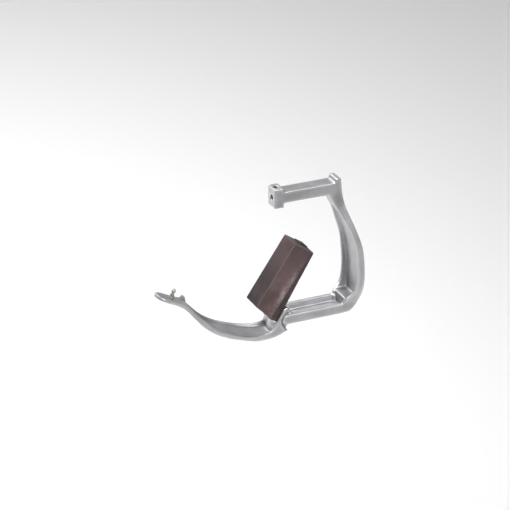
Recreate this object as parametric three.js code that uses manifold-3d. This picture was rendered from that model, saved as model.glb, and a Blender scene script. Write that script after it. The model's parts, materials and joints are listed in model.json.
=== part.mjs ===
// Breakaway western stirrup iron: a C-shaped main frame hangs from its crossbar, and a swing arm
// that carries the tread block turns on a hinge pin at the end of the bottom rail. Shut, the
// latch pin on the arm's end plate sits in a sprung catch in the crossbar's end; the arm is shown
// released. Millimetres, +Z up, +X from the swing arm towards the fixed arm, +Y towards the back.
// The origin is the centre of the crossbar's flat underside, where the stirrup leather bears.

import * as THREE from 'three';
import { mergeVertices } from 'three/addons/utils/BufferGeometryUtils.js';
import Module from 'manifold-3d';

const wasm = await Module();
wasm.setup();

// ---------------------------------------------------------------- driving dimensions
const SWING_OPEN = 63; // degrees the arm has turned from shut
const CURVE_STEPS = 4; // facets for each span of a curved outline
const ROUND_STEPS = 32; // facets round a bore or a shaft
const FINE_STEPS = 24; // facets round the smaller ones
const HEX = 6;
const CLEARANCE = 0.3; // between pieces that touch
const RUNNING_FIT = 0.1; // round a shaft that turns or slides
const PAST = 30; // how far a slab or a tool runs past the work

// places in the hinge frame: x and z from the hinge pin's axis, y from the middle plane
const BAR_CENTRE_X = 25;
const BAR_BOTTOM = 158.5;
const BAR_TOP = 173.5;
const BAR_LEFT = -9.5;
const BAR_RIGHT = 61;
const CATCH_LEFT = -22.5;
const CATCH_BOTTOM = 153;
const CATCH_TOP = 178.5;

const RAIL_HALF_HEIGHT = 6.5;
const RAIL_HALF_WIDTH = 17.6;
const RAIL_WALL = 4.6;
const NOSE_X = -7.7;
const POCKET_LEFT = 9;
const POCKET_RIGHT = 75;
const POCKET_FLOOR = -3.3;
const LEDGE_Z = 11.6;
const FRAME_FLANGE = 3.6;

const ARM_SWEEP_RADIUS = 15.4; // clear of the rail's nose
const LUG_RADIUS = 6.2;
const LUG_HALF_WIDTH = 11.9;
const PIN_RADIUS = 2.5;
const PIN_FRONT = -16.1; // its bore is blind, and open only at the back
const PIN_REAR = 17.2;
const BUSH_RADIUS = 3.7;
const BEAM_BOTTOM = 13.3;
const BEAM_TIP_BOTTOM = 12.1; // where it lands on the ledge
const BEAM_HALF_WIDTH = 7.2;
const BEAM_END_X = 82;
const NECK_HALF_WIDTH = 14.8; // of its oval section
const NECK_HALF_HEIGHT = 8;
const NECK_RISE = 39; // degrees
const FOOT_SEAT_Z = 15.9; // of the arm's seat for the tread block's foot
const FOOT_SEAT_HALF_WIDTH = 14.8;
const ARM_FLANGE = 3.2;
const PLATE_INNER_X = -23.4;
const PLATE_OUTER_X = -27.9;
const PLATE_HALF_WIDTH = 12;
const PLATE_TOP = 187;

const TREAD_LENGTH = 94.5;
const TREAD_WIDTH = 31.4;
const TREAD_DEPTH = 32.1;
const TREAD_TILT = THREE.MathUtils.degToRad(7.2);
const TREAD_NEAR_TOP = new THREE.Vector2(0.4, 55.9);
const TREAD_NEAR_EDGE = new THREE.Vector2(-8.7, 27.5);
const TREAD_NEAR_FOOT = new THREE.Vector2(-8.6, 17.2);
const TREAD_FOOT_HALF_WIDTH = 14.2;
const BEVEL_START_NEAR = 27.6; // down from the tread's top, at the hinge end
const BEVEL_START_FAR = 29;
const TREAD_COVER = 15; // rubber over the beam
const TREAD_CORNER = 3; // rounding of the far lower corner
const CAVITY_MOUTH_TOP = 29; // of the hole in the block's near end that the beam comes through

const SCREW_PLACES = { near: 20, far: 66 }; // x of the two screws that hold the tread block
const SCREW_RADIUS = 2.5;
const SCREW_HEAD_RADIUS = 4.2;
const SCREW_HEAD_RECESS = 0.6; // head's underside above the beam's
const SCREW_HEAD_TOP = 5.4;
const INSERT_RADIUS = 4;
const INSERT_WAIST_RADIUS = 3.5;
const INSERT_LENGTH = 8;

const BUMPER_PROUD = 1.4;
const BUMPER_DEPTH = 5;
const BUMPER_TOP = 14; // down from the tread's top
const BUMPER_FOOT = 27;
const BUMPER_HALF_WIDTH = 8;
const BUMPER_MIDDLE = 4; // it sits towards the back

const CATCH_MOUTH = new THREE.Vector2(CATCH_LEFT, 165);
const SOCKET_RADIUS = 3.8;
const SOCKET_DEPTH = 13.5;
const LATCH_BASE_RADIUS = 3;
const LATCH_WAIST_RADIUS = 2;
const LATCH_BULB_RADIUS = 2.9;
const LATCH_WAIST_AT = 5.9; // from the socket's mouth
const LATCH_BULB_AT = 9;
const LATCH_SQUARE_AT = 5; // where its line is square to its radius from the hinge
const SHANK_RADIUS = 2.5;
const SHANK_END = -7.9;
const COLLAR_SEAT = -1;
const WASHER_SEAT = -3.5;
const WASHER_THICKNESS = 0.6;
const NUT_THICKNESS = 2.5;
const NUT_RADIUS = 4.6;
const NUT_BORE_RADIUS = 5.4;

// ---------------------------------------------------------------- materials
const finish = (color, roughness, metalness) =>
  new THREE.MeshStandardMaterial({ color, roughness, metalness });
const castAluminium = finish(0xc3c4c8, 0.42, 1);
const steel = finish(0xa9aaab, 0.28, 1);
const darkSteel = finish(0x55565a, 0.4, 1);
const bronze = finish(0x9c7b45, 0.45, 1);
const brownRubber = finish(0x5d4a49, 0.62, 0);
const blackRubber = finish(0x1b1b1d, 0.7, 0);

// ---------------------------------------------------------------- solids
function solid(geometry) {
  const bare = geometry.clone();
  bare.deleteAttribute('normal');
  bare.deleteAttribute('uv');
  const merged = mergeVertices(bare, 1e-4);
  const vertProperties = new Float32Array(merged.attributes.position.array);
  const triVerts = new Uint32Array(merged.index.array);
  return new wasm.Manifold(new wasm.Mesh({ numProp: 3, vertProperties, triVerts }));
}

function geometryOf(body) {
  const { vertProperties, triVerts } = body.getMesh();
  const geometry = new THREE.BufferGeometry();
  geometry.setAttribute('position', new THREE.BufferAttribute(vertProperties, 3));
  geometry.setIndex(new THREE.BufferAttribute(triVerts, 1));
  const flat = geometry.toNonIndexed();
  flat.computeVertexNormals();
  return flat;
}

const join = (first, ...others) => others.reduce((all, next) => all.add(next), first);
const cut = (first, ...tools) => tools.reduce((rest, tool) => rest.subtract(tool), first);

function mesh(name, body, material) {
  const piece = new THREE.Mesh(geometryOf(body), material);
  piece.name = name;
  return piece;
}

const vectors = (...pairs) => pairs.map(([x, y]) => new THREE.Vector2(x, y));

// A closed outline in X and Z, pushed along Y.
function slab(shape, halfWidth, middle = 0) {
  const options = { depth: 2 * halfWidth, bevelEnabled: false, curveSegments: CURVE_STEPS };
  const geometry = new THREE.ExtrudeGeometry(shape, options);
  geometry.translate(0, 0, -halfWidth);
  geometry.rotateX(Math.PI / 2);
  geometry.translate(0, middle, 0);
  return solid(geometry);
}

function block(x0, x1, y0, y1, z0, z1) {
  const geometry = new THREE.BoxGeometry(x1 - x0, y1 - y0, z1 - z0);
  geometry.translate((x0 + x1) / 2, (y0 + y1) / 2, (z0 + z1) / 2);
  return solid(geometry);
}

// A body between two curved sides whose half width, in Y, follows the given heights in Z.
// It is long in X, and cuts a slab to the width a casting has at each height.
function widthBody(stations, inset, x0, x1) {
  const side = stations.map(([z, halfWidth]) => new THREE.Vector2(halfWidth - inset, z));
  const mirrored = side.map((p) => new THREE.Vector2(-p.x, p.y)).reverse();
  const shape = new THREE.Shape();
  shape.moveTo(side[0].x, side[0].y);
  shape.splineThru(side.slice(1));
  shape.lineTo(mirrored[0].x, mirrored[0].y);
  shape.splineThru(mirrored.slice(1));
  const options = { depth: x1 - x0, bevelEnabled: false, curveSegments: CURVE_STEPS };
  const geometry = new THREE.ExtrudeGeometry(shape, options);
  geometry.translate(0, 0, x0);
  const axes = [new THREE.Vector3(0, 1, 0), new THREE.Vector3(0, 0, 1), new THREE.Vector3(1, 0, 0)];
  geometry.applyMatrix4(new THREE.Matrix4().makeBasis(...axes));
  return solid(geometry);
}

// A turned solid: [radius, distance along the axis] pairs, starting and ending on the axis.
function turned(profile, steps = ROUND_STEPS) {
  return solid(new THREE.LatheGeometry(vectors(...profile), steps));
}

const rod = (radius, from, to, steps = ROUND_STEPS) =>
  turned([[0, from], [radius, from], [radius, to], [0, to]], steps);

// Turned solids run along +Y as made; these lay them along another direction.
const alongZ = (body) => body.rotate([90, 0, 0]);

// ---------------------------------------------------------------- latch line
// The latch pin's line is square to its radius from the hinge inside the socket, so that it
// enters with the least side play.
const mouthAngle = Math.atan2(CATCH_MOUTH.y, CATCH_MOUTH.x);
const latchAngle =
  mouthAngle - Math.PI / 2 - Math.asin(LATCH_SQUARE_AT / CATCH_MOUTH.length());
const waistX = CATCH_MOUTH.x + LATCH_WAIST_AT * Math.cos(latchAngle);
const waistZ = CATCH_MOUTH.y + LATCH_WAIST_AT * Math.sin(latchAngle);

// Lays a turned solid along the latch line, measured from the socket's mouth.
const alongLatch = (body) =>
  body
    .rotate([0, 0, -90])
    .rotate([0, THREE.MathUtils.radToDeg(-latchAngle), 0])
    .translate([CATCH_MOUTH.x, 0, CATCH_MOUTH.y]);

// ---------------------------------------------------------------- detent sizes
// Distances out from the latch line, the same above and below it.
const NOSE_TIP = 2.35;
const NOSE_RADIUS = 1.5;
const PLUNGER_SHOULDER = 5.7;
const PLUNGER_FLANGE = 1;
const PLUNGER_FLANGE_RADIUS = 2.25;
const PLUNGER_TAIL = 8.1;
const PLUNGER_TAIL_RADIUS = 1.1;
const SPRING_START = PLUNGER_SHOULDER + PLUNGER_FLANGE + 0.1; // just off the flange
const SPRING_END = 9.5;
const DETENT_SCREW_START = 9.7;
const DETENT_SCREW_RADIUS = 2.55;
const DETENT_BORE_RADIUS = 2.7;

// ---------------------------------------------------------------- main frame
const frameWidths = [
  [-12, 17.6], [0, 17.6], [6.5, 17.8], [14, 20], [26, 23.4], [40, 25.2], [58, 26], [78, 26.4],
  [94, 26], [108, 24], [120, 20.6], [132, 16.2], [143, 12.6], [152, 10.6], [160, 10], [184, 10],
];

function frameOutline() {
  const shape = new THREE.Shape();
  shape.moveTo(NOSE_X, -RAIL_HALF_HEIGHT);
  shape.lineTo(73, -RAIL_HALF_HEIGHT);
  shape.splineThru(vectors(
    [80.5, -5.4], [86.5, -0.8], [91.5, 6], [95, 15], [97, 29], [97.3, 46], [95.8, 66],
    [93.4, 83], [88.8, 98], [83.6, 113], [78.2, 128], [73.9, 141], [71.2, 155], [69.6, 168],
  ));
  shape.lineTo(69.2, 176);
  shape.quadraticCurveTo(69, 179, 66, 179);
  shape.lineTo(BAR_RIGHT + 2, 179);
  shape.quadraticCurveTo(BAR_RIGHT, 179, BAR_RIGHT, 177);
  shape.quadraticCurveTo(BAR_RIGHT, BAR_TOP, BAR_RIGHT - 3.5, BAR_TOP);
  shape.lineTo(BAR_LEFT, BAR_TOP);
  shape.lineTo(BAR_LEFT, CATCH_TOP);
  shape.lineTo(CATCH_LEFT, CATCH_TOP);
  shape.lineTo(CATCH_LEFT, CATCH_BOTTOM);
  shape.lineTo(BAR_LEFT, CATCH_BOTTOM);
  shape.lineTo(BAR_LEFT, BAR_BOTTOM);
  shape.lineTo(51, BAR_BOTTOM);
  shape.splineThru(vectors(
    [55, 153.5], [59.6, 144], [65.2, 134.5], [69.6, 125.5], [74.6, 114], [80.2, 100], [84.2, 86],
    [86.5, 68], [87.5, 49], [87, 36], [85, 25.5], [80.6, 18], [75, 13.2], [70.5, 6.8],
  ));
  shape.lineTo(69.5, RAIL_HALF_HEIGHT);
  shape.lineTo(NOSE_X, RAIL_HALF_HEIGHT);
  shape.absarc(NOSE_X, 0, RAIL_HALF_HEIGHT, Math.PI / 2, (3 * Math.PI) / 2, false);
  return shape;
}

// The hollow between the fixed arm's two flanges, down to the ledge that the beam rests on.
function frameHollow() {
  const shape = new THREE.Shape();
  shape.moveTo(40, LEDGE_Z);
  shape.lineTo(91.4, LEDGE_Z);
  shape.splineThru(vectors(
    [92.6, 14.5], [94.3, 28], [94.8, 46], [93, 66], [90, 83], [84.8, 99], [78.8, 114.5],
    [72.8, 126.5], [66.4, 136],
  ));
  shape.lineTo(40, 120);
  const flanged = widthBody(frameWidths, FRAME_FLANGE, 0, 120);
  return slab(shape, PAST).intersect(flanged);
}

function mainFrame() {
  const casting = slab(frameOutline(), PAST).intersect(widthBody(frameWidths, 0, -60, 120));
  const wall = RAIL_HALF_WIDTH - RAIL_WALL;
  const clevis = block(-20, POCKET_LEFT, -wall, wall, -20, RAIL_HALF_HEIGHT + 10);
  const pocket = block(POCKET_LEFT - 1, POCKET_RIGHT, -wall, wall, POCKET_FLOOR, LEDGE_Z + 1);
  const hollowed = cut(casting, frameHollow(), clevis, pocket);
  const postRib = block(71, POCKET_RIGHT + 1, wall - 2.4, wall + 1, -5, 5.5);
  const pinBore = rod(PIN_RADIUS + RUNNING_FIT, PIN_FRONT - CLEARANCE, PAST);
  const socket = alongLatch(rod(SOCKET_RADIUS, -3, SOCKET_DEPTH));
  const mouth = alongLatch(turned([[0, -1.5], [6.2, -1.5], [SOCKET_RADIUS - 0.2, 1.6], [0, 1.6]]));
  return cut(
    join(hollowed, postRib), pinBore, socket, mouth,
    ...[1, -1].map(detentBore), grubBore(),
  );
}

// Moves a solid turned outwards from the latch line to its place above (1) or below (-1) it.
const atDetent = (body, side) => body.rotate([side * 90, 0, 0]).translate([waistX, 0, waistZ]);

function detentBore(side) {
  const reach = 20;
  const bore = join(
    rod(NOSE_RADIUS + RUNNING_FIT, 1, reach, FINE_STEPS),
    rod(DETENT_BORE_RADIUS, PLUNGER_SHOULDER - RUNNING_FIT, reach, FINE_STEPS),
  );
  return atDetent(bore, side);
}

// ---------------------------------------------------------------- hinge
const GRUB_RADIUS = 1.5;
const GRUB_Y = 15.3;
const FLAT_DEPTH = 0.5; // of the flat on the pin that the grub screw bears on
const BUSH_FLANGE_RADIUS = 5.4;
const BUSH_FLANGE = 0.8;

// Lays a turned solid downwards under the pin, in the frame's rear wall.
const underPin = (body) => alongZ(body).rotate([180, 0, 0]).translate([0, GRUB_Y, 0]);

function hingePin() {
  const chamfer = 0.6;
  const pin = turned([
    [0, PIN_FRONT], [PIN_RADIUS - chamfer, PIN_FRONT], [PIN_RADIUS, PIN_FRONT + chamfer],
    [PIN_RADIUS, PIN_REAR - chamfer], [PIN_RADIUS - chamfer, PIN_REAR], [0, PIN_REAR],
  ]);
  const flat = block(-5, 5, GRUB_Y - GRUB_RADIUS - 0.4, PAST, -5, -PIN_RADIUS + FLAT_DEPTH);
  return cut(pin, flat);
}

const grubBore = () => underPin(rod(GRUB_RADIUS + RUNNING_FIT, 0, 9, FINE_STEPS));

function hingeGrub() {
  const screw = rod(GRUB_RADIUS, PIN_RADIUS - FLAT_DEPTH + CLEARANCE, 6.1, FINE_STEPS);
  return underPin(cut(screw, rod(0.85, 4.6, 7, HEX)));
}

function hingeBush(side) {
  const inner = PIN_RADIUS + RUNNING_FIT;
  const seat = LUG_HALF_WIDTH + 0.1;
  const bush = turned([
    [inner, 1], [BUSH_RADIUS, 1], [BUSH_RADIUS, seat], [BUSH_FLANGE_RADIUS, seat],
    [BUSH_FLANGE_RADIUS, seat + BUSH_FLANGE], [inner, seat + BUSH_FLANGE], [inner, 1],
  ]);
  return side > 0 ? bush : bush.rotate([180, 0, 0]);
}

// ---------------------------------------------------------------- tread block's lines, shut
// The tread's own directions: s along its top from the hinge end, n down from its top.
const treadPoint = (s, n) =>
  new THREE.Vector2(
    TREAD_NEAR_TOP.x + s * Math.cos(TREAD_TILT) - n * Math.sin(TREAD_TILT),
    TREAD_NEAR_TOP.y - s * Math.sin(TREAD_TILT) - n * Math.cos(TREAD_TILT),
  );
const treadFarTop = treadPoint(TREAD_LENGTH, 0);
const treadFarFoot = treadPoint(TREAD_LENGTH, TREAD_DEPTH);

// Heights, at a given x, of the block's underside, of the beam's top and of a screw's insert.
const keelSlope = (treadFarFoot.y - TREAD_NEAR_FOOT.y) / (treadFarFoot.x - TREAD_NEAR_FOOT.x);
const keelLine = (x) => TREAD_NEAR_FOOT.y + (x - TREAD_NEAR_FOOT.x) * keelSlope;
const coverLine = (x) =>
  treadPoint(0, TREAD_COVER).y - (x - treadPoint(0, TREAD_COVER).x) * Math.tan(TREAD_TILT);
const insertStart = (x) => coverLine(x) + 3 * CLEARANCE;

// ---------------------------------------------------------------- swing arm, shut
const armWidths = [
  [-12, 17.6], [0, 17.6], [20, 17.7], [36, 19.6], [56, 21], [78, 21], [98, 20.4], [114, 18.4],
  [130, 15], [144, 12.6], [156, 12], [168, 12], [200, 12],
];

function armOutline() {
  const shape = new THREE.Shape();
  shape.moveTo(-16.3, -0.9);
  shape.splineThru(vectors(
    [-19.4, 1.8], [-24.6, 6.2], [-33.6, 17.2], [-41.6, 36], [-45, 58], [-47.4, 78.5], [-46.8, 96.5],
    [-43, 114.5], [-36.2, 131], [-30, 145], [PLATE_OUTER_X, 156],
  ));
  shape.lineTo(PLATE_OUTER_X, PLATE_TOP);
  shape.lineTo(PLATE_INNER_X, PLATE_TOP);
  shape.lineTo(PLATE_INNER_X, 153);
  shape.splineThru(vectors(
    [-24, 144.5], [-29, 130.5], [-35.6, 114], [-39.8, 96.5], [-40.6, 78.5], [-38.8, 58.6], [-35, 41],
    [-30.3, 30], [-24, 21.3],
  ));
  shape.lineTo(-20, 19);
  shape.lineTo(8, 18.3);
  shape.lineTo(13, BEAM_BOTTOM);
  shape.lineTo(0, BEAM_BOTTOM + 0.3);
  shape.absarc(0, 0, ARM_SWEEP_RADIUS, Math.PI * 0.62, Math.PI * 1.02, false);
  return shape;
}

// The channel between the swing arm's two flanges.
function armHollow() {
  const shape = new THREE.Shape();
  shape.moveTo(-25.5, 142);
  shape.splineThru(vectors(
    [-32, 130], [-39, 114], [-43.4, 96.5], [-44, 78.5], [-41.7, 58], [-38.3, 38.5], [-32.5, 23],
    [-25.5, 12.5],
  ));
  shape.lineTo(-21, 19);
  shape.lineTo(-15, 40);
  shape.lineTo(-15, 120);
  return slab(shape, PAST).intersect(widthBody(armWidths, ARM_FLANGE, -80, 10));
}

// The oval column that rises from the channel's floor to the tread block's near end.
function neckColumn() {
  const oval = rod(1, -4, PAST, 2 * FINE_STEPS).scale([NECK_HALF_WIDTH, 1, NECK_HALF_HEIGHT]);
  const column = oval
    .rotate([0, 0, -90])
    .rotate([0, -NECK_RISE, 0])
    .translate([-20, 0, 11.3]);
  const bounds = new THREE.Shape(vectors(
    [-40, 1], [-14.4, 1], [-14.4, 6], [-12, 11], [-9.9, 12.6], [-9.9, 27.4], [-6.8, 41], [-40, 41],
  ));
  return column.intersect(slab(bounds, 17));
}

function swingArm() {
  const plateEnd = rod(PLATE_HALF_WIDTH, -60, 0, 2 * FINE_STEPS)
    .rotate([0, 0, -90])
    .translate([0, 0, PLATE_TOP - PLATE_HALF_WIDTH]);
  const below = block(-80, 30, -PAST, PAST, -20, PLATE_TOP - PLATE_HALF_WIDTH);
  const casting = slab(armOutline(), PAST)
    .intersect(widthBody(armWidths, 0, -80, 30))
    .intersect(join(below, plateEnd));
  const beam = new THREE.Shape(vectors(
    [-11, 16], [-11, CAVITY_MOUTH_TOP - CLEARANCE], [-4.7, CAVITY_MOUTH_TOP - CLEARANCE],
    [-0.7, coverLine(-0.7) - CLEARANCE], [BEAM_END_X, coverLine(BEAM_END_X) - CLEARANCE],
    [BEAM_END_X, BEAM_TIP_BOTTOM], [8, BEAM_BOTTOM], [-7, BEAM_BOTTOM + 1.5],
  ));
  const web = new THREE.Shape(vectors([2, 4], [3, 15], [-15, 15], [-16.4, 0.6], [-4, -3]));
  const ear = new THREE.Shape(vectors(
    [-29.5, 136], [-24, 138], [-20, 141.5], [-18.4, 146], [-19.4, 149.5], [-23.4, 151.8], [-26.5, 152],
  ));
  const footSeat = block(
    -9.9, 20, -FOOT_SEAT_HALF_WIDTH, FOOT_SEAT_HALF_WIDTH, FOOT_SEAT_Z, PAST,
  );
  const arm = join(
    cut(casting, armHollow(), footSeat),
    neckColumn(),
    slab(beam, BEAM_HALF_WIDTH),
    slab(web, LUG_HALF_WIDTH),
    rod(LUG_RADIUS, -LUG_HALF_WIDTH, LUG_HALF_WIDTH),
    slab(ear, 1.5, PLATE_HALF_WIDTH - 1.2),
  );
  const screwBores = Object.values(SCREW_PLACES).map((x) => {
    const shank = rod(SCREW_RADIUS + CLEARANCE, 0, 60, FINE_STEPS);
    const head = rod(SCREW_HEAD_RADIUS + 0.4, 0, BEAM_BOTTOM + SCREW_HEAD_TOP);
    return alongZ(join(shank, head)).translate([x, 0, 0]);
  });
  const shankBore = alongLatch(rod(SHANK_RADIUS + 0.15, -20, 0, FINE_STEPS));
  const nutBore = alongLatch(rod(NUT_BORE_RADIUS, -20, WASHER_SEAT));
  const spotFace = alongLatch(rod(4.2, COLLAR_SEAT - CLEARANCE, 8));
  const bushBore = rod(BUSH_RADIUS + RUNNING_FIT, -20, 20);
  return cut(arm, bushBore, ...screwBores, shankBore, nutBore, spotFace);
}

// ---------------------------------------------------------------- tread block, shut
// Everything beyond the plane through three points, on the side its normal looks towards.
function beyond(p, q, r) {
  const normal = new THREE.Vector3().crossVectors(q.clone().sub(p), r.clone().sub(p)).normalize();
  const size = 300;
  const geometry = new THREE.BoxGeometry(size, size, size);
  geometry.translate(0, 0, size / 2);
  const up = new THREE.Vector3(0, 0, 1);
  geometry.applyQuaternion(new THREE.Quaternion().setFromUnitVectors(up, normal));
  geometry.translate(p.x, p.y, p.z);
  return solid(geometry);
}

// A tapering bevel on the lower edge of one long side, widest at the hinge end.
function keelBevel(side) {
  const half = TREAD_WIDTH / 2;
  const atSide = (place, y) => new THREE.Vector3(place.x, side * y, place.y);
  const near = atSide(treadPoint(0, BEVEL_START_NEAR), half);
  const far = atSide(treadPoint(TREAD_LENGTH, BEVEL_START_FAR), half);
  const foot = atSide(TREAD_NEAR_FOOT, TREAD_FOOT_HALF_WIDTH);
  return side > 0 ? beyond(near, far, foot) : beyond(near, foot, far);
}

const treadRect = (s0, s1, n0, n1) =>
  new THREE.Shape([treadPoint(s0, n0), treadPoint(s1, n0), treadPoint(s1, n1), treadPoint(s0, n1)]);

// The bumper's solid in the far end, or with room round it the seat it sits in.
const bumperSlab = (outerEnd, room) =>
  slab(
    treadRect(TREAD_LENGTH - BUMPER_DEPTH - room, outerEnd, BUMPER_TOP - room, BUMPER_FOOT + room),
    BUMPER_HALF_WIDTH + room, BUMPER_MIDDLE,
  );

function treadBlock() {
  const shape = new THREE.Shape();
  const cornerTop = treadPoint(TREAD_LENGTH, TREAD_DEPTH - TREAD_CORNER);
  const cornerX = treadFarFoot.x - TREAD_CORNER;
  shape.moveTo(TREAD_NEAR_TOP.x, TREAD_NEAR_TOP.y);
  shape.lineTo(treadFarTop.x, treadFarTop.y);
  shape.lineTo(cornerTop.x, cornerTop.y);
  shape.quadraticCurveTo(treadFarFoot.x, treadFarFoot.y, cornerX, keelLine(cornerX));
  shape.lineTo(TREAD_NEAR_FOOT.x, TREAD_NEAR_FOOT.y);
  shape.lineTo(TREAD_NEAR_EDGE.x, TREAD_NEAR_EDGE.y);
  const [start, end, foot] = [-20, BEAM_END_X + 0.5, 5];
  const cavity = new THREE.Shape(vectors(
    [start, foot], [end, foot], [end, coverLine(end)], [-1, coverLine(-1)],
    [-5, CAVITY_MOUTH_TOP], [start, CAVITY_MOUTH_TOP],
  ));
  const insertBores = Object.values(SCREW_PLACES).map((x) => {
    const top = insertStart(x) + INSERT_LENGTH + CLEARANCE;
    return alongZ(rod(INSERT_RADIUS + CLEARANCE, coverLine(x) - 2, top)).translate([x, 0, 0]);
  });
  return cut(
    slab(shape, TREAD_WIDTH / 2), keelBevel(1), keelBevel(-1),
    slab(cavity, BEAM_HALF_WIDTH + CLEARANCE), ...insertBores,
    bumperSlab(TREAD_LENGTH + TREAD_CORNER, CLEARANCE),
  );
}

const endBumper = () => bumperSlab(TREAD_LENGTH + BUMPER_PROUD, 0);

// A flanged bush with a waist, moulded into the rubber.
function treadInsert(x) {
  const outer = turned([
    [0, 0], [INSERT_RADIUS, 0], [INSERT_RADIUS, 2.6], [INSERT_WAIST_RADIUS, 3.2],
    [INSERT_WAIST_RADIUS, 4.8], [INSERT_RADIUS, 5.4], [INSERT_RADIUS, INSERT_LENGTH],
    [0, INSERT_LENGTH],
  ]);
  const bore = rod(SCREW_RADIUS + 0.25, -1, INSERT_LENGTH + 1, FINE_STEPS);
  return alongZ(cut(outer, bore)).translate([x, 0, insertStart(x)]);
}

function treadScrew(x) {
  const head = BEAM_BOTTOM + SCREW_HEAD_RECESS;
  const seat = BEAM_BOTTOM + SCREW_HEAD_TOP - 0.1;
  const tip = insertStart(x) + INSERT_LENGTH - 0.5;
  const chamfer = 0.5;
  const screw = turned([
    [0, head], [SCREW_HEAD_RADIUS - chamfer, head], [SCREW_HEAD_RADIUS, head + chamfer],
    [SCREW_HEAD_RADIUS, seat], [SCREW_RADIUS, seat], [SCREW_RADIUS, tip - chamfer],
    [SCREW_RADIUS - chamfer, tip], [0, tip],
  ]);
  return alongZ(cut(screw, rod(2.3, head - 1, head + 2.6, HEX))).translate([x, 0, 0]);
}

// ---------------------------------------------------------------- latch pin and its nut
function latchPin() {
  const chamfer = 0.4;
  const profile = [
    [0, SHANK_END], [SHANK_RADIUS - chamfer, SHANK_END], [SHANK_RADIUS, SHANK_END + chamfer],
    [SHANK_RADIUS, COLLAR_SEAT], [LATCH_BASE_RADIUS, COLLAR_SEAT], [LATCH_BASE_RADIUS, 2.6],
    [2.7, 3.8], [LATCH_WAIST_RADIUS + 0.1, 5], [LATCH_WAIST_RADIUS, LATCH_WAIST_AT],
  ];
  const steps = 9;
  const neck = 0.74; // share of the bulb's radius where the neck meets it
  for (let i = 0; i < steps; i++) {
    const angle = (Math.PI - Math.asin(neck)) * (1 - i / steps);
    const along = LATCH_BULB_AT + LATCH_BULB_RADIUS * Math.cos(angle);
    profile.push([LATCH_BULB_RADIUS * Math.sin(angle), along]);
  }
  profile.push([0, LATCH_BULB_AT + LATCH_BULB_RADIUS]);
  return alongLatch(turned(profile));
}

const nutStart = WASHER_SEAT - WASHER_THICKNESS - 2 * CLEARANCE;

function latchWasher() {
  const top = WASHER_SEAT - CLEARANCE;
  const disc = rod(NUT_BORE_RADIUS - 0.5, top - WASHER_THICKNESS, top);
  return alongLatch(cut(disc, rod(SHANK_RADIUS + 0.25, -PAST, 0)));
}

function latchNut() {
  const nut = rod(NUT_RADIUS, nutStart - NUT_THICKNESS, nutStart, HEX);
  return alongLatch(cut(nut, rod(SHANK_RADIUS + 0.15, -PAST, 0, FINE_STEPS)));
}

// ---------------------------------------------------------------- detents in the catch
function detentPlunger(side) {
  const profile = [[0, NOSE_TIP]];
  const steps = 6;
  for (let i = 1; i <= steps; i++) {
    const angle = ((Math.PI / 2) * i) / steps;
    profile.push([NOSE_RADIUS * Math.sin(angle), NOSE_TIP + NOSE_RADIUS * (1 - Math.cos(angle))]);
  }
  const flangeEnd = PLUNGER_SHOULDER + PLUNGER_FLANGE;
  profile.push(
    [NOSE_RADIUS, PLUNGER_SHOULDER], [PLUNGER_FLANGE_RADIUS, PLUNGER_SHOULDER],
    [PLUNGER_FLANGE_RADIUS, flangeEnd], [PLUNGER_TAIL_RADIUS, flangeEnd],
    [PLUNGER_TAIL_RADIUS, PLUNGER_TAIL], [0, PLUNGER_TAIL],
  );
  return atDetent(turned(profile, FINE_STEPS), side);
}

// A round wire coil between the plunger's flange and the screw.
class Helix extends THREE.Curve {
  constructor(radius, from, to, turns) {
    super();
    Object.assign(this, { radius, from, to, turns });
  }

  getPoint(t, target = new THREE.Vector3()) {
    const angle = 2 * Math.PI * this.turns * t;
    const along = this.from + (this.to - this.from) * t;
    return target.set(this.radius * Math.cos(angle), along, this.radius * Math.sin(angle));
  }
}

function detentSpring(side) {
  const wire = 0.26;
  const turns = 3;
  const coilRadius = (PLUNGER_FLANGE_RADIUS + PLUNGER_TAIL_RADIUS) / 2 + 0.08;
  const path = new Helix(coilRadius, SPRING_START + wire, SPRING_END - wire, turns);
  const section = new THREE.Shape().absarc(0, 0, wire, 0, 2 * Math.PI, false);
  const options = { steps: turns * 16, extrudePath: path, curveSegments: 3, bevelEnabled: false };
  return atDetent(solid(new THREE.ExtrudeGeometry(section, options)), side);
}

function detentScrew(side) {
  const edge = side > 0 ? CATCH_TOP - waistZ : waistZ - CATCH_BOTTOM;
  const screw = rod(DETENT_SCREW_RADIUS, DETENT_SCREW_START, edge - CLEARANCE);
  return atDetent(cut(screw, rod(1.5, edge - 1.9, edge + 1, HEX)), side);
}

// ---------------------------------------------------------------- assembly
const stirrup = new THREE.Group();
const hingeFrame = new THREE.Group();
hingeFrame.position.set(-BAR_CENTRE_X, 0, -BAR_BOTTOM);
stirrup.add(hingeFrame);

hingeFrame.add(
  mesh('main_frame', mainFrame(), castAluminium),
  mesh('hinge_pin', hingePin(), steel),
  mesh('hinge_grub_screw', hingeGrub(), darkSteel),
);
for (const [side, place] of [[1, 'upper'], [-1, 'lower']]) {
  hingeFrame.add(
    mesh(`detent_plunger_${place}`, detentPlunger(side), steel),
    mesh(`detent_spring_${place}`, detentSpring(side), steel),
    mesh(`detent_screw_${place}`, detentScrew(side), darkSteel),
  );
}

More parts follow.
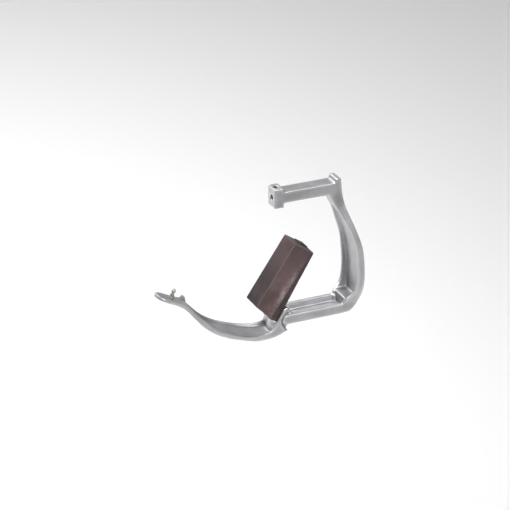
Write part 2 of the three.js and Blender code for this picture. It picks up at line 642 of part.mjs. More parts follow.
const swing = new THREE.Group();
swing.rotation.y = THREE.MathUtils.degToRad(-SWING_OPEN);
hingeFrame.add(swing);
swing.add(
  mesh('swing_arm', swingArm(), castAluminium),
  mesh('hinge_bush_front', hingeBush(-1), bronze),
  mesh('hinge_bush_rear', hingeBush(1), bronze),
  mesh('tread_block', treadBlock(), brownRubber),
  mesh('end_bumper', endBumper(), blackRubber),
  mesh('latch_pin', latchPin(), steel),
  mesh('latch_washer', latchWasher(), steel),
  mesh('latch_nut', latchNut(), steel),
);
for (const [place, x] of Object.entries(SCREW_PLACES)) {
  swing.add(
    mesh(`tread_insert_${place}`, treadInsert(x), bronze),
    mesh(`tread_screw_${place}`, treadScrew(x), darkSteel),
  );
}

export default stirrup;
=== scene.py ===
"""Looks of the breakaway western stirrup iron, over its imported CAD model.

The two castings and the rubber pieces are made again from their CAD solids as fine meshes with
rounded, worn edges, and their bores are then cut clean, as they are machined. The hardware gets
bevelled edges. Everything is in metres in the model's own frame, and each piece rides on the
body of the CAD node it stands for.
"""

import json
import math

import bmesh
import bpy
import numpy as np
from mathutils import Matrix, Vector

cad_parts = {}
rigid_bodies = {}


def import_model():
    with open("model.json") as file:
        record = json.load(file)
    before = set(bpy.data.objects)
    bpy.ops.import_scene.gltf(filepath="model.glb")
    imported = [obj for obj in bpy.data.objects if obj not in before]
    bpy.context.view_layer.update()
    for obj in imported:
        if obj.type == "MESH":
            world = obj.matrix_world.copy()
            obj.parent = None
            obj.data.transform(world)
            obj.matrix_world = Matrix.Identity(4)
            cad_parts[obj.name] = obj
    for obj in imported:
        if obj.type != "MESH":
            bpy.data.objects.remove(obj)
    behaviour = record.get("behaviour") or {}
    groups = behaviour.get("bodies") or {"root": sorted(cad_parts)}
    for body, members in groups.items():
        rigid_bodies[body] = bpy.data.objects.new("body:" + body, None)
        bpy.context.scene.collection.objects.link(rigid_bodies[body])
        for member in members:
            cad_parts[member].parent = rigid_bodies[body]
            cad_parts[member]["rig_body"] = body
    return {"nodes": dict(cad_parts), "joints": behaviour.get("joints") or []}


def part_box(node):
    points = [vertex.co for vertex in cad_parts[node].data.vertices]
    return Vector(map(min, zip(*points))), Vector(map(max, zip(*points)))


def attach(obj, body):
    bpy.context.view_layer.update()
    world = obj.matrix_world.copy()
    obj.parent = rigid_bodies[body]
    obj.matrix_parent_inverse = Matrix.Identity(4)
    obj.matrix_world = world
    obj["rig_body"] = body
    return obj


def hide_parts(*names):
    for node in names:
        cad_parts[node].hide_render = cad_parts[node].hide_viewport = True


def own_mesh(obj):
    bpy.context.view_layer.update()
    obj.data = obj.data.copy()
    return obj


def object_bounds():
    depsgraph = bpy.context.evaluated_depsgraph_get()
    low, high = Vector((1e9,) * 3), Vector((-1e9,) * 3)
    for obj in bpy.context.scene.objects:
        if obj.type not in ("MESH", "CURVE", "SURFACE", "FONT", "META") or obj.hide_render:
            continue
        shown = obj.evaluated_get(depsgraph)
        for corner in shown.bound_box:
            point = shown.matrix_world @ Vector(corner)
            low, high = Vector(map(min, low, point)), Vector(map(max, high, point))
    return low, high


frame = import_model()
cad_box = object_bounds()

MM = 0.001
JOINTS = {joint["name"]: joint for joint in frame["joints"]}
HINGE = Vector(JOINTS["arm_hinge"]["pos_m"])
SWING_OPEN = math.radians(-JOINTS["arm_hinge"]["range_deg"][0])

# The castings are described from the hinge pin's axis: the frame as it hangs, and the arm as it
# lies when shut. ARM_PLACE takes the second to where the open arm is.
FRAME_PLACE = Matrix.Translation(HINGE)
ARM_PLACE = FRAME_PLACE @ Matrix.Rotation(-SWING_OPEN, 4, "Y")

# The latch pin's line in the shut pose, and the socket it enters.
CATCH_MOUTH = Vector((-22.5, 0, 165)) * MM
LATCH_ANGLE = math.radians(6.045)
LATCH_LINE = Vector((math.cos(LATCH_ANGLE), 0, math.sin(LATCH_ANGLE)))
SOCKET_RADIUS = 3.85 * MM
SOCKET_DEPTH = 13.4 * MM

# The tread's top edge at the hinge end, its slope when shut, and its size.
TREAD_CORNER = Vector((0.4, 0, 55.9)) * MM
TREAD_TILT = math.radians(7.2)
TREAD_LENGTH = 94.5 * MM
TREAD_HALF_WIDTH = 15.7 * MM

# How the castings are rounded: the remesh, the rounds of smoothing for edges and for faces, the
# share of an inside corner that is filled, and the differences that tell a face from an edge.
CAST_VOXEL = 0.6 * MM
CAST_EDGE = 12
CAST_FORM = 70
CORNER_FILL = 0.6
FACE_GAP = 0.07 * MM
EDGE_GAP = 0.3 * MM
EDGE_SCALE = 0.5 * MM

# Bores and recesses that are cut after that.
PIN_ROOM = 0.12 * MM  # round the hinge pin and its grub screw
PIN_END_ROOM = 0.35 * MM
SCREW_ROOM = 0.17 * MM  # round the detent screws
BORE_PAST = 30 * MM  # how far a bore's tool runs out of the casting
SPOT_FACE_RADIUS = 4.3 * MM  # round the latch pin's collar
NUT_BORE_RADIUS = 5.45 * MM
SCREW_PLACES = (20 * MM, 66 * MM)  # x of the two screws that hold the tread block
SCREW_RECESS_RADIUS = 4.65 * MM
SCREW_SEAT = 18.75 * MM

# The grip ribs on the tread's top.
RIB_PITCH = 2.8 * MM
RIB_DEPTH = 0.3 * MM
RIB_MARGIN = 2.2 * MM  # kept plain along the edges
RIB_FADE = 1.5 * MM
TOP_LAYER = 0.6 * MM  # points this near the top belong to it

# The block's tones: where its lower bevel starts below the top, at the hinge end and the far
# end, below which the block is painted in shade, and the band above it that is painted pale,
# partly as rubbing and partly as a painted sheen.
BEVEL_NEAR = 27.6 * MM
BEVEL_FAR = 29 * MM
BEVEL_FADE = 0.8 * MM
PALE_BAND_DEPTH = 24.5 * MM
PALE_BAND_REACH = 4.5 * MM
PALE_BAND_MIDDLE = 35 * MM
PALE_BAND_LENGTH = 32 * MM
SIDE_FACING = 0.15  # a side looks up or down by less than this

SPRING_TURNS = 3
SPRING_WIRE = 0.24 * MM
STEPS_PER_TURN = 40

# The studio, in metres. The camera's place is in millimetres from the hinge pin: to the right,
# up, and ahead along its own line of sight.
FLOOR_SIZE = 14
FLOOR_DROP = 0.35
WORLD_STRENGTH = 0.5
BRIGHT_SIDE = (-0.35, 0.7, 0.6)
CAMERA_TURN = math.radians(24.1)
CAMERA_TILT = math.radians(25.7)
CAMERA_LENS = 148.05
CAMERA_PLACE = (-40.5, 73.9, -2663.7)


# ---------------------------------------------------------------- meshes
def piece_from(node, name):
    """A new object with a copy of a CAD node's mesh, standing for that node on its body."""
    source = frame["nodes"][node]
    piece = bpy.data.objects.new(name, source.data.copy())
    piece.data.materials.clear()
    bpy.context.scene.collection.objects.link(piece)
    welded = bmesh.new()
    welded.from_mesh(piece.data)
    bmesh.ops.remove_doubles(welded, verts=welded.verts, dist=1e-6)
    welded.to_mesh(piece.data)
    welded.free()
    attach(piece, source["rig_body"])
    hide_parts(node)
    return piece


def apply_modifiers(piece):
    """Turns the piece's modifiers into its mesh."""
    graph = bpy.context.evaluated_depsgraph_get()
    done = bpy.data.meshes.new_from_object(piece.evaluated_get(graph))
    piece.modifiers.clear()
    piece.data = done


def coordinates(mesh):
    flat = np.empty(len(mesh.vertices) * 3)
    mesh.vertices.foreach_get("co", flat)
    return flat.reshape(-1, 3)


def relaxed(points, pairs, rounds):
    """Points or values after moving half way to the mean of their neighbours, round by round."""
    first, second = pairs.T
    size = len(points)
    neighbours = np.bincount(pairs.ravel(), minlength=size)[:, None]
    for _ in range(rounds):
        sums = [
            np.bincount(first, points[second, k], size)
            + np.bincount(second, points[first, k], size)
            for k in range(points.shape[1])
        ]
        points = (points + np.stack(sums, axis=1) / neighbours) / 2
    return points


def soften(piece, voxel, edge_rounds, form_rounds, corner_fill=0.0):
    """Remeshes a piece finely and rounds its edges as a mould does.

    Edges get edge_rounds of smoothing. Broad faces get form_rounds, which takes the facets out of
    curved sides. How far the two differ tells edges and corners from faces, and is kept as the
    point attribute "edge": 1 on a bare edge, -1 in an inside corner. Inside corners are filled
    by a share of that difference, as fillets.
    """
    remesh = piece.modifiers.new("remesh", "REMESH")
    remesh.mode = "VOXEL"
    remesh.voxel_size = voxel
    remesh.use_smooth_shade = True
    apply_modifiers(piece)
    mesh = piece.data
    pairs = np.empty(len(mesh.edges) * 2, np.int32)
    mesh.edges.foreach_get("vertices", pairs)
    pairs = pairs.reshape(-1, 2)
    normals = np.empty(len(mesh.vertices) * 3)
    rounded = relaxed(coordinates(mesh), pairs, edge_rounds)
    formed = relaxed(rounded, pairs, form_rounds)
    gap = rounded - formed
    distance = np.linalg.norm(gap, axis=1)
    mesh.vertices.foreach_get("normal", normals)
    height = np.einsum("ij,ij->i", gap, normals.reshape(-1, 3))
    share = np.where(height < 0, corner_fill, 0)
    share = np.maximum(share, np.clip((EDGE_GAP - distance) / (EDGE_GAP - FACE_GAP), 0, 1))
    share = relaxed(share[:, None], pairs, edge_rounds)
    mesh.vertices.foreach_set("co", (rounded - share * gap).ravel())
    edge = np.clip(height / EDGE_SCALE, -1, 1)
    mesh.attributes.new("edge", "FLOAT", "POINT").data.foreach_set("value", edge)
    mesh.shade_smooth()


def cylinder(radius_from, radius_to, start, end, steps=96):
    """A closed cylinder or cone along +Z, as a bmesh."""
    tool = bmesh.new()
    bmesh.ops.create_cone(
        tool, cap_ends=True, segments=steps, radius1=radius_from, radius2=radius_to,
        depth=end - start, matrix=Matrix.Translation((0, 0, (start + end) / 2)),
    )
    return tool


def along(direction, origin):
    """A matrix that lays +Z along a direction, from an origin."""
    turn = Vector(direction).to_track_quat("Z", "Y").to_matrix().to_4x4()
    return Matrix.Translation(origin) @ turn


def bore(piece, place, tools, finish):
    """Cuts the tools' shapes, laid out by place, out of the piece and leaves a turned finish."""
    for tool in tools:
        tool.transform(place)
        mesh = bpy.data.meshes.new("tool")
        tool.to_mesh(mesh)
        tool.free()
        mesh.materials.append(finish)
        cutter = bpy.data.objects.new("tool", mesh)
        bpy.context.scene.collection.objects.link(cutter)
        cut = piece.modifiers.new("bore", "BOOLEAN")
        cut.operation = "DIFFERENCE"
        cut.solver = "MANIFOLD"
        cut.material_mode = "TRANSFER"
        cut.object = cutter
        apply_modifiers(piece)
        bpy.data.objects.remove(cutter)
        bpy.data.meshes.remove(mesh)


def bevelled(node, name, width, finish):
    """A piece of hardware: its CAD solid with true flats and bevelled edges."""
    piece = piece_from(node, name)
    flats = bmesh.new()
    flats.from_mesh(piece.data)
    bmesh.ops.dissolve_limit(
        flats, angle_limit=math.radians(0.5), verts=flats.verts, edges=flats.edges
    )
    flats.to_mesh(piece.data)
    flats.free()
    bevel = piece.modifiers.new("bevel", "BEVEL")
    bevel.width = width
    bevel.segments = 3
    bevel.limit_method = "ANGLE"
    bevel.angle_limit = math.radians(32)
    bevel.use_clamp_overlap = True
    apply_modifiers(piece)
    piece.data.shade_smooth()
    piece.data.set_sharp_from_angle(angle=math.radians(40))
    piece.data.materials.append(finish)


# ---------------------------------------------------------------- materials
class Finish:
    """A material's node tree, built up from its Principled shader."""

    def __init__(self, name, color, roughness, metallic):
        self.material = bpy.data.materials.new(name)
        self.material.use_nodes = True
        self.tree = self.material.node_tree
        self.shader = self.tree.nodes["Principled BSDF"]
        self.shader.inputs["Base Color"].default_value = (*color, 1)
        self.shader.inputs["Roughness"].default_value = roughness
        self.shader.inputs["Metallic"].default_value = metallic
        self.place = self.add("ShaderNodeTexCoord").outputs["Object"]
        self.surface = None

    def add(self, kind, **inputs):
        node = self.tree.nodes.new(kind)
        for key, value in inputs.items():
            self.give(node.inputs[key.replace("_", " ")], value)
        return node

    def give(self, socket, value):
        if isinstance(value, bpy.types.NodeSocket):
            self.tree.links.new(value, socket)
        else:
            socket.default_value = value

    def noise(self, size, detail=4.0, stretch=(1, 1, 1), roughness=0.55):
        """Noise with features of about that size, in metres, drawn out along an axis."""
        scaled = self.add("ShaderNodeMapping", Vector=self.place)
        scaled.inputs["Scale"].default_value = stretch
        return self.add(
            "ShaderNodeTexNoise", Vector=scaled.outputs[0], Scale=1 / size, Detail=detail,
            Roughness=roughness,
        ).outputs["Fac"]

    def spots(self, size):
        """Distance from the nearest of a scatter of points, in shares of their spacing."""
        return self.add(
            "ShaderNodeTexVoronoi", Vector=self.place, Scale=1 / size
        ).outputs["Distance"]

    def level(self, value, low, high, to_low=0.0, to_high=1.0):
        """A value between two limits, spread from one number to another."""
        node = self.add("ShaderNodeMapRange", Value=value)
        node.interpolation_type = "SMOOTHSTEP"
        for key, number in zip(("From Min", "From Max", "To Min", "To Max"),
                               (low, high, to_low, to_high)):
            node.inputs[key].default_value = number
        return node.outputs[0]

    def blend(self, share, first, second, mode="MIX"):
        """One colour over another, by a share."""
        node = self.tree.nodes.new("ShaderNodeMix")
        node.data_type = "RGBA"
        node.blend_type = mode
        self.give(node.inputs["Factor"], share)
        colours = [s for s in node.inputs if s.type == "RGBA"]
        for socket, value in zip(colours, (first, second)):
            self.give(socket, value if isinstance(value, bpy.types.NodeSocket) else (*value, 1))
        return [s for s in node.outputs if s.type == "RGBA"][0]

    def maths(self, operation, first, second):
        node = self.tree.nodes.new("ShaderNodeMath")
        node.operation = operation
        self.give(node.inputs[0], first)
        self.give(node.inputs[1], second)
        return node.outputs[0]

    def point(self, attribute):
        """A value that the piece's own points carry."""
        node = self.tree.nodes.new("ShaderNodeAttribute")
        node.attribute_name = attribute
        return node.outputs["Fac"]

    def edge(self):
        """1 on a bare edge, -1 in an inside corner."""
        return self.point("edge")

    def openness(self, reach):
        """1 on an open face, and less the more the piece itself closes in round it."""
        node = self.tree.nodes.new("ShaderNodeAmbientOcclusion")
        node.samples = 8
        node.only_local = True
        node.inputs["Distance"].default_value = reach
        return node.outputs["AO"]

    def share(self, attribute, pattern, low, high):
        """A carried value broken up by a pattern, which lets through between two limits of it."""
        return self.maths("MULTIPLY", self.point(attribute), self.level(pattern, low, high))

    def bump(self, height, depth, strength=1.0):
        """Adds a layer of relief, of that depth in metres."""
        node = self.add("ShaderNodeBump", Height=height, Distance=depth, Strength=strength)
        if self.surface is not None:
            self.tree.links.new(self.surface, node.inputs["Normal"])
        self.surface = node.outputs[0]

    def finished(self, **inputs):
        for key, value in inputs.items():
            self.give(self.shader.inputs[key.replace("_", " ")], value)
        if self.surface is not None:
            self.tree.links.new(self.surface, self.shader.inputs["Normal"])
        return self.material


def cast_aluminium():
    """Tumbled casting: satin, slightly mottled, brighter on rubbed edges, with painted shade in
    its inside corners and recesses.
    """
    f = Finish("cast_aluminium", (0.62, 0.625, 0.64), 0.42, 1)
    cloud = f.noise(22 * MM, 5)
    grain = f.noise(0.7 * MM, 3)
    edge = f.edge()
    base = f.blend(f.level(cloud, 0.35, 0.68), (0.49, 0.492, 0.512), (0.61, 0.61, 0.625))
    base = f.blend(f.level(grain, 0.35, 0.7, 0.0, 0.35), base, (0.42, 0.422, 0.44))
    base = f.blend(f.level(edge, 0.12, 0.55, 0.0, 0.6), base, (0.72, 0.72, 0.728))
    # Painted shade: inside corners darkened.
    base = f.blend(f.level(edge, -0.25, -0.9, 0.0, 0.35), base, (0.38, 0.38, 0.395))
    # Painted shade: recesses that the piece closes in round are darkened nearly to black.
    recess_shade = f.level(f.openness(18 * MM), 0.7, 0.3, 0.0, 0.32)
    base = f.blend(recess_shade, base, (0.13, 0.13, 0.142))
    scratch = f.noise(2.2 * MM, 6, (1, 9, 1), 0.7)
    rough = f.level(cloud, 0.3, 0.7, 0.36, 0.5)
    rough = f.maths("SUBTRACT", rough, f.level(edge, 0.1, 0.6, 0.0, 0.04))
    rough = f.maths("ADD", rough, f.level(scratch, 0.45, 0.75, 0.0, 0.1))
    f.bump(f.noise(9 * MM, 2), 0.12 * MM, 0.6)
    f.bump(grain, 0.05 * MM, 0.7)
    f.bump(f.level(f.spots(3.4 * MM), 0.0, 0.16), 0.06 * MM, 0.5)
    return f.finished(Base_Color=base, Roughness=rough)


def machined_aluminium():
    """Bright turned bores with fine tool marks."""
    f = Finish("machined_aluminium", (0.66, 0.66, 0.67), 0.25, 1)
    marks = f.noise(0.25 * MM, 2)
    f.bump(marks, 0.01 * MM, 0.5)
    return f.finished(Roughness=f.level(marks, 0.3, 0.7, 0.2, 0.38))


def moulded_rubber():
    """Brown moulded rubber: fine pebble, dusty scuffs, pale edges that are partly rubbed and
    partly a painted highlight, and painted shade in inside corners.
    """
    f = Finish("brown_rubber", (0.11, 0.075, 0.073), 0.6, 0)
    cloud = f.noise(26 * MM, 4)
    scuff = f.noise(7 * MM, 7, (1, 3.5, 1), 0.68)
    pebble = f.noise(0.55 * MM, 2)
    edge = f.edge()
    base = f.blend(f.level(cloud, 0.35, 0.66), (0.078, 0.046, 0.047), (0.12, 0.076, 0.075))
    base = f.blend(f.level(scuff, 0.5, 0.78, 0.0, 0.4), base, (0.19, 0.15, 0.145))
    # The pale band above the bevels: partly rubbed, partly a painted sheen.
    base = f.blend(f.share("wear_and_sheen", scuff, 0.3, 0.65), base, (0.3, 0.225, 0.222))
    # Painted shade: the top towards the hinge and the bevels are darkened, and so are the sides
    # towards their far part.
    base = f.blend(f.share("painted_shade", cloud, 0.1, 0.6), base, (0.03, 0.02, 0.024))
    # Pale edges: partly rubbed, partly a painted highlight along the ridges.
    base = f.blend(f.level(edge, 0.2, 0.7, 0.0, 0.22), base, (0.26, 0.21, 0.2))
    # Painted shade: inside corners darkened.
    base = f.blend(f.level(edge, -0.1, -0.5, 0.0, 0.7), base, (0.035, 0.024, 0.023))
    rough = f.level(scuff, 0.4, 0.75, 0.5, 0.72)
    f.bump(pebble, 0.06 * MM, 0.7)
    f.bump(f.noise(5 * MM, 3), 0.12 * MM, 0.5)
    f.bump(f.level(scuff, 0.62, 0.8), 0.05 * MM, 0.5)
    return f.finished(Base_Color=base, Roughness=rough, Specular_IOR_Level=0.45)


def black_rubber():
    f = Finish("black_rubber", (0.014, 0.014, 0.015), 0.62, 0)
    dust = f.noise(3 * MM, 6, roughness=0.7)
    base = f.blend(f.level(dust, 0.5, 0.75, 0.0, 0.4), (0.012, 0.012, 0.013), (0.06, 0.058, 0.056))
    base = f.blend(f.level(f.edge(), 0.15, 0.6, 0.0, 0.5), base, (0.07, 0.068, 0.066))
    f.bump(f.noise(0.5 * MM, 2), 0.05 * MM, 0.8)
    return f.finished(Base_Color=base, Roughness=f.level(dust, 0.4, 0.7, 0.5, 0.75))


def bright_steel():
    """Turned, polished steel with a warm tone, light smears and fine rings."""
    f = Finish("bright_steel", (0.55, 0.53, 0.48), 0.22, 1)
    smear = f.noise(3 * MM, 5)
    base = f.blend(f.level(smear, 0.4, 0.7), (0.52, 0.505, 0.47), (0.38, 0.36, 0.33))
    f.bump(f.noise(0.3 * MM, 2), 0.008 * MM, 0.6)
    return f.finished(Base_Color=base, Roughness=f.level(smear, 0.35, 0.7, 0.16, 0.34))


def black_screw_steel():
    """Black oxide that has rubbed through to steel in places."""
    f = Finish("black_screw_steel", (0.06, 0.06, 0.065), 0.4, 1)
    rub = f.noise(1.6 * MM, 6)
    base = f.blend(f.level(rub, 0.55, 0.75, 0.0, 0.7), (0.05, 0.05, 0.055), (0.24, 0.235, 0.23))
    f.bump(f.noise(0.4 * MM, 3), 0.015 * MM, 0.6)
    return f.finished(Base_Color=base, Roughness=f.level(rub, 0.4, 0.7, 0.42, 0.3))


def bronze():
    f = Finish("bronze", (0.46, 0.3, 0.13), 0.34, 1)
    tarnish = f.noise(2.4 * MM, 5)
    base = f.blend(f.level(tarnish, 0.4, 0.7), (0.48, 0.31, 0.135), (0.27, 0.165, 0.075))
    f.bump(f.noise(0.35 * MM, 2), 0.012 * MM, 0.5)
    return f.finished(Base_Color=base, Roughness=f.level(tarnish, 0.35, 0.7, 0.26, 0.48))


def studio_paper():
    f = Finish("studio_paper", (0.9, 0.9, 0.9), 0.9, 0)
    return f.finished(Specular_IOR_Level=0.1)


# ---------------------------------------------------------------- castings
def frame_casting(skin, turned):
    """The main frame, with its hinge bore, catch socket, detent and grub screw bores cut clean."""
    piece = piece_from("main_frame", "frame_casting")
    soften(piece, CAST_VOXEL, CAST_EDGE, CAST_FORM, CORNER_FILL)
    piece.data.materials.append(skin)
    pin_low, pin_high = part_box("hinge_pin")
    pin_bore = (pin_high.z - pin_low.z) / 2 + PIN_ROOM
    blind_end = pin_low.y - PIN_END_ROOM
    pin_tool = cylinder(pin_bore, pin_bore, blind_end, BORE_PAST)
    bore(piece, along((0, 1, 0), HINGE), [pin_tool], turned)
    mouth = cylinder(SOCKET_RADIUS + 2 * MM, SOCKET_RADIUS - 0.2 * MM, -1.5 * MM, 1.6 * MM)
    socket = cylinder(SOCKET_RADIUS, SOCKET_RADIUS, -3 * MM, SOCKET_DEPTH)
    bore(piece, FRAME_PLACE @ along(LATCH_LINE, CATCH_MOUTH), [mouth, socket], turned)
    for place, up in (("upper", 1), ("lower", -1)):
        low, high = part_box(f"detent_screw_{place}")
        centre = (low + high) / 2
        radius = (high.x - low.x) / 2 + SCREW_ROOM
        bore(piece, along((0, 0, up), centre), [cylinder(radius, radius, -5 * MM, 6 * MM)], turned)
    low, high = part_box("hinge_grub_screw")
    centre = (low + high) / 2
    radius = (high.x - low.x) / 2 + PIN_ROOM
    bore(piece, along((0, 0, -1), centre), [cylinder(radius, radius, 0, 6 * MM)], turned)


def arm_casting(skin, turned):
    """The swing arm, with its latch pin's seats and its two screw recesses cut clean."""
    piece = piece_from("swing_arm", "arm_casting")
    soften(piece, CAST_VOXEL, CAST_EDGE, CAST_FORM, CORNER_FILL)
    piece.data.materials.append(skin)
    spot_face = cylinder(SPOT_FACE_RADIUS, SPOT_FACE_RADIUS, -1.35 * MM, 8 * MM)
    nut_bore = cylinder(NUT_BORE_RADIUS, NUT_BORE_RADIUS, -16 * MM, -3.45 * MM)
    latch_place = ARM_PLACE @ along(LATCH_LINE, CATCH_MOUTH)
    bore(piece, latch_place, [spot_face, nut_bore], turned)
    for x in SCREW_PLACES:
        recess = cylinder(SCREW_RECESS_RADIUS, SCREW_RECESS_RADIUS, 0, SCREW_SEAT)
        bore(piece, ARM_PLACE @ Matrix.Translation((x, 0, 0)), [recess], turned)


# ---------------------------------------------------------------- rubber
def grip_ribs(local, depth):
    """How far the ribs lower each point of the tread's top, given in the tread's directions."""
    inset = np.minimum(
        np.minimum(local[:, 0], TREAD_LENGTH - local[:, 0]),
        TREAD_HALF_WIDTH - np.abs(local[:, 1]),
    )
    on_top = (depth < TOP_LAYER) * np.clip((inset - RIB_MARGIN) / RIB_FADE, 0, 1)
    wave = 0.5 + 0.5 * np.cos(2 * math.pi * local[:, 1] / RIB_PITCH)
    return RIB_DEPTH * on_top * wave**2


def tread_tones(local, depth, facing):
    """How dark and how pale each point is painted: painted shade on the top towards the hinge and
    on the bevels, the sides darker towards their far part, and a pale band just above the bevels
    that is partly rubbed and partly a painted sheen."""
    along_top = np.clip(1 - local[:, 0] / TREAD_LENGTH, 0, 1)
    bevel_line = BEVEL_FAR + (BEVEL_NEAR - BEVEL_FAR) * along_top
    below = np.clip((depth - bevel_line) / BEVEL_FADE, 0, 1)
    sides = np.abs(facing) < SIDE_FACING
    # Painted shade on the top, growing towards the hinge, and on the bevels; the sides are darker
    # towards their far part.
    painted_shade = np.clip((facing - 0.5) / 0.3, 0, 1) * (0.15 + 1.25 * along_top**1.3)
    painted_shade += 0.95 * below
    painted_shade += sides * np.clip(0.5 - 0.9 * along_top, 0, 1)
    # A pale band just above the bevels, partly rubbed and partly a painted sheen.
    worn_and_sheen = np.exp(-(((depth - PALE_BAND_DEPTH) / PALE_BAND_REACH) ** 2)) * sides
    worn_and_sheen *= (1 - below) * np.exp(-(((local[:, 0] - PALE_BAND_MIDDLE) / PALE_BAND_LENGTH) ** 2))
    return painted_shade, worn_and_sheen


def tread_rubber(skin):
    """The tread block, with fine grip ribs along its top."""
    piece = piece_from("tread_block", "tread_rubber")
    soften(piece, 0.5 * MM, 6, 40)
    mesh = piece.data
    to_tread = (ARM_PLACE @ Matrix.Translation(TREAD_CORNER)
                @ Matrix.Rotation(TREAD_TILT, 4, "Y")).inverted()
    turn = np.array(to_tread.to_3x3())
    local = coordinates(mesh) @ turn.T + np.array(to_tread.translation)
    depth = -local[:, 2]
    local[:, 2] -= grip_ribs(local, depth)
    back = to_tread.inverted()
    points = local @ np.array(back.to_3x3()).T + np.array(back.translation)
    mesh.vertices.foreach_set("co", points.ravel())
    mesh.update()
    normals = np.empty(points.size)
    mesh.vertices.foreach_get("normal", normals)
    facing = (normals.reshape(-1, 3) @ turn.T)[:, 2]
    for name, values in zip(("painted_shade", "wear_and_sheen"), tread_tones(local, depth, facing)):
        mesh.attributes.new(name, "FLOAT", "POINT").data.foreach_set("value", values)
    mesh.materials.append(skin)


def bumper(skin):
    piece = piece_from("end_bumper", "bumper_rubber")
    soften(piece, 0.35 * MM, 5, 20)
    piece.data.materials.append(skin)
    return piece


# ---------------------------------------------------------------- hardware
def hardware(steel, black_steel, bush_metal):
    """Pins, screws, bushes and the detents, each bevelled from its CAD solid."""
    sets = [
        (steel, "bright_steel", 0.25, ["hinge_pin", "latch_pin", "latch_washer", "latch_nut",
                                       "detent_plunger_upper", "detent_plunger_lower"]),
        (black_steel, "black_screw_steel", 0.2,
         ["hinge_grub_screw", "detent_screw_upper", "detent_screw_lower", "tread_screw_near",
          "tread_screw_far"]),
        (bush_metal, "bronze", 0.2,
         ["hinge_bush_front", "hinge_bush_rear", "tread_insert_near", "tread_insert_far"]),
    ]
    for finish, slot, width, nodes in sets:
        for node in nodes:
            bevelled(node, f"{node}_fine", width * MM, finish)


def detent_springs(finish):
    """Round wire coils for the two detent springs."""
    for place in ("upper", "lower"):
        low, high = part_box(f"detent_spring_{place}")
        radius = (high.x - low.x) / 2 - SPRING_WIRE - 0.02 * MM
        middle = (low + high) / 2
        curve = bpy.data.curves.new(f"detent_spring_{place}_wire", "CURVE")
        curve.dimensions = "3D"
        curve.bevel_depth = SPRING_WIRE
        curve.bevel_resolution = 3
        curve.use_fill_caps = True
        line = curve.splines.new("POLY")
        steps = SPRING_TURNS * STEPS_PER_TURN
        line.points.add(steps)
        rise = high.z - low.z - 2 * SPRING_WIRE - 0.04 * MM
        for i, point in enumerate(line.points):
            angle = 2 * math.pi * SPRING_TURNS * i / steps
            z = middle.z + rise * (i / steps - 0.5)
            point.co = (middle.x + radius * math.cos(angle), radius * math.sin(angle), z, 1)
        made = bpy.data.objects.new("coil", curve)
        bpy.context.scene.collection.objects.link(made)
        graph = bpy.context.evaluated_depsgraph_get()
        mesh = bpy.data.meshes.new_from_object(made.evaluated_get(graph))
        bpy.data.objects.remove(made)
        spring = bpy.data.objects.new(f"detent_spring_{place}_coil", mesh)
        bpy.context.scene.collection.objects.link(spring)
        mesh.shade_smooth()
        mesh.materials.clear()
        mesh.materials.append(finish)
        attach(spring, "frame")
        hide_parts(f"detent_spring_{place}")
        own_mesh(spring)


# ---------------------------------------------------------------- studio
def floor(finish):
    """A pale sheet well below the hanging stirrup."""
    sheet = bmesh.new()
    bmesh.ops.create_grid(sheet, x_segments=4, y_segments=4, size=FLOOR_SIZE / 2)
    mesh = bpy.data.meshes.new("floor")
    sheet.to_mesh(mesh)
    sheet.free()
    mesh.materials.append(finish)
    piece = bpy.data.objects.new("floor", mesh)
    piece.location.z = cad_box[0].z - FLOOR_DROP
    bpy.context.scene.collection.objects.link(piece)


def softbox(name, place, target, size, watts, spread=180):
    """A soft rectangular light. A spread below 180 degrees narrows its beam."""
    light = bpy.data.lights.new(name, "AREA")
    light.shape = "RECTANGLE"
    light.size, light.size_y = size
    light.energy = watts
    light.spread = math.radians(spread)
    holder = bpy.data.objects.new(name, light)
    holder.location = place
    holder.rotation_euler = (Vector(target) - Vector(place)).to_track_quat("-Z", "Y").to_euler()
    bpy.context.scene.collection.objects.link(holder)


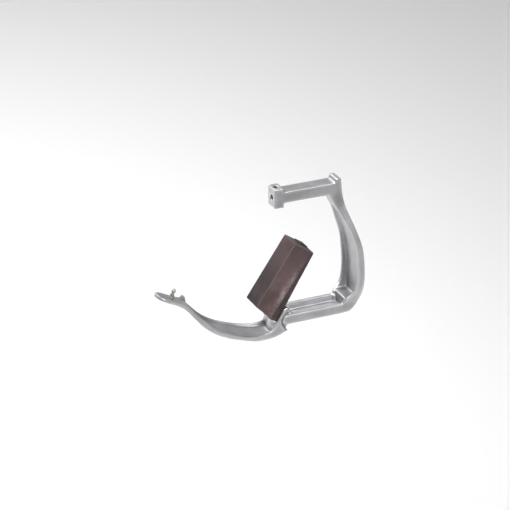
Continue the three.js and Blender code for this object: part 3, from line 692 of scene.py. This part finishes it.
def surroundings():
    """A pale room, bright behind and overhead and dim towards the front, so that the metal has
    something to show."""
    world = bpy.data.worlds.new("studio")
    bpy.context.scene.world = world
    world.use_nodes = True
    tree = world.node_tree
    back = tree.nodes["Background"]
    place = tree.nodes.new("ShaderNodeTexCoord")
    towards = tree.nodes.new("ShaderNodeVectorMath")
    towards.operation = "DOT_PRODUCT"
    towards.inputs[1].default_value = Vector(BRIGHT_SIDE).normalized()
    tree.links.new(place.outputs["Generated"], towards.inputs[0])
    ramp = tree.nodes.new("ShaderNodeMapRange")
    ramp.interpolation_type = "SMOOTHSTEP"
    tree.links.new(towards.outputs["Value"], ramp.inputs["Value"])
    for key, number in (("From Min", -0.8), ("From Max", 0.8), ("To Min", 0.22), ("To Max", 1.0)):
        ramp.inputs[key].default_value = number
    tree.links.new(ramp.outputs[0], back.inputs["Color"])
    back.inputs["Strength"].default_value = WORLD_STRENGTH


def camera():
    """Looks down at the stirrup from its front left, from 2.7 m away through a long lens."""
    level = math.cos(CAMERA_TILT)
    ahead = Vector((math.sin(CAMERA_TURN) * level, math.cos(CAMERA_TURN) * level,
                    -math.sin(CAMERA_TILT)))
    right = Vector((math.cos(CAMERA_TURN), -math.sin(CAMERA_TURN), 0))
    up = right.cross(ahead)
    data = bpy.data.cameras.new("camera")
    data.lens = CAMERA_LENS
    data.sensor_width = 36
    data.clip_end = 60
    holder = bpy.data.objects.new("camera", data)
    aside, above, along_sight = CAMERA_PLACE
    offset = right * aside + up * above + ahead * along_sight
    holder.matrix_world = (
        Matrix.Translation(HINGE + offset * MM)
        @ Matrix((right, up, -ahead)).transposed().to_4x4()
    )
    bpy.context.scene.collection.objects.link(holder)
    bpy.context.scene.camera = holder


# ---------------------------------------------------------------- the scene
skin = cast_aluminium()
turned = machined_aluminium()
steel = bright_steel()
frame_casting(skin, turned)
arm_casting(skin, turned)
tread_rubber(moulded_rubber())
bumper(black_rubber())
hardware(steel, black_screw_steel(), bronze())
detent_springs(steel)

floor(studio_paper())
surroundings()
softbox(
    "key", place=(0.1, -2.0, 1.6), target=(-0.05, 0.1, -0.08), size=(1.3, 0.9), watts=5, spread=46
)
softbox("overhead", place=(-0.8, 1.3, 1.6), target=(-0.4, 0.9, -0.5), size=(1.8, 1.8), watts=38)
camera()
bpy.context.scene.view_settings.view_transform = "Standard"
